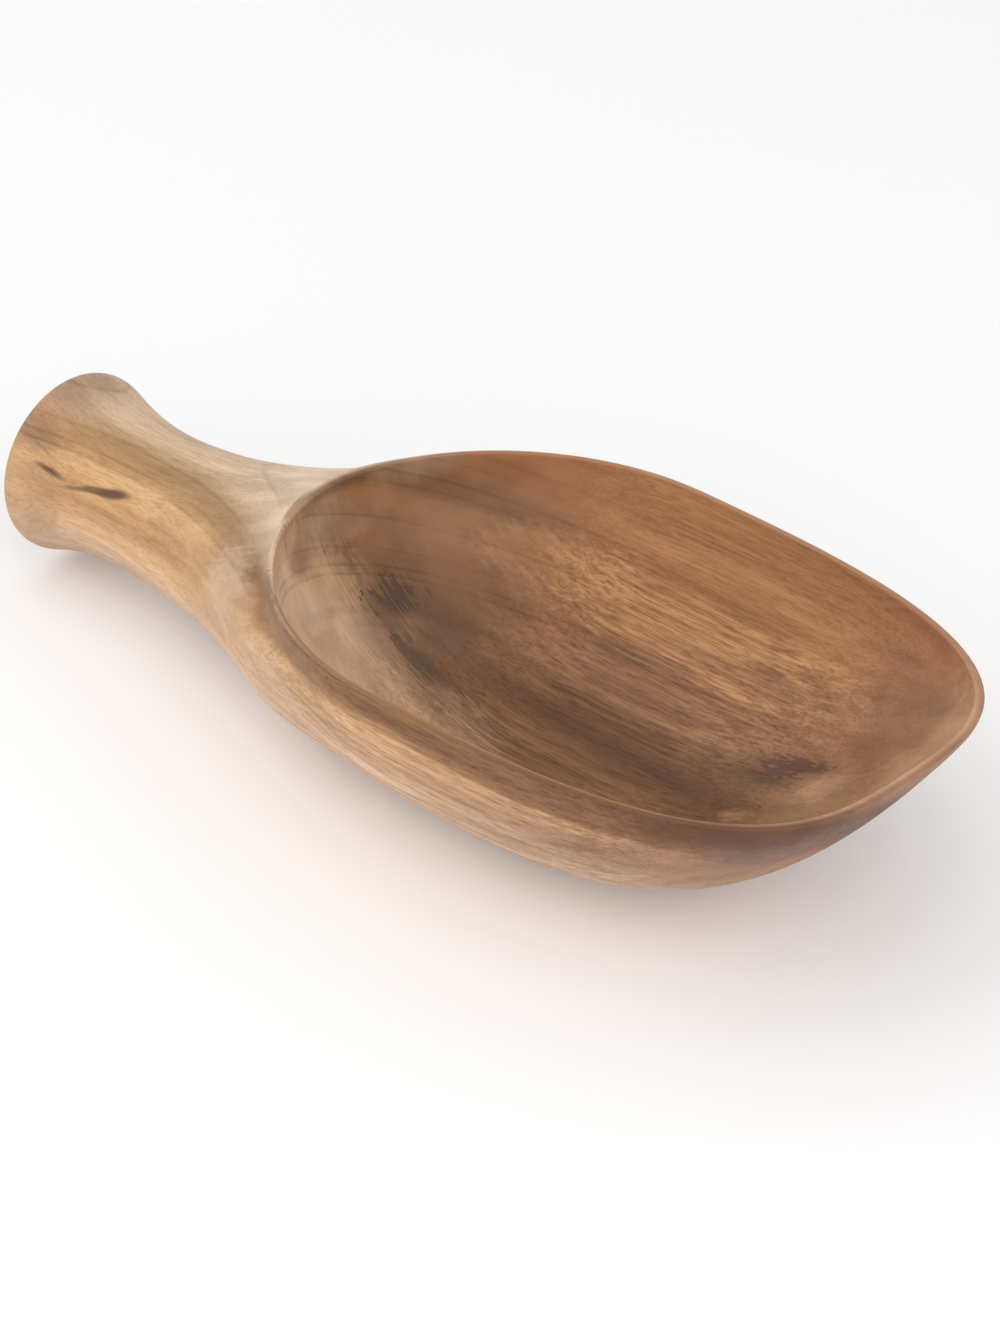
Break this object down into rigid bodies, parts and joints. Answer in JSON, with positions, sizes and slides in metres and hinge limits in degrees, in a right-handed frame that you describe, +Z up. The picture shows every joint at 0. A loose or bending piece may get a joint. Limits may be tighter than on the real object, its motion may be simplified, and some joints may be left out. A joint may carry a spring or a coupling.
{
  "type": "wooden scoop",
  "caption": "Hand scoop carved from one piece of hardwood: deep oval bowl with a thin rim and blunt pouring lip, and a short round grip that swells at its end.",
  "frame": {"origin": "on the table, under the middle of the scoop's length and width", "axes": "+X along the scoop from the grip to the pouring lip, +Z up out of the bowl's opening"},
  "size_m": [0.2844, 0.1222, 0.0583],
  "materials": {
    "wood": "oiled acacia, satin"
  },
  "bodies": {
    "root": {"scoop": "wood"}
  },
  "joints": []
}
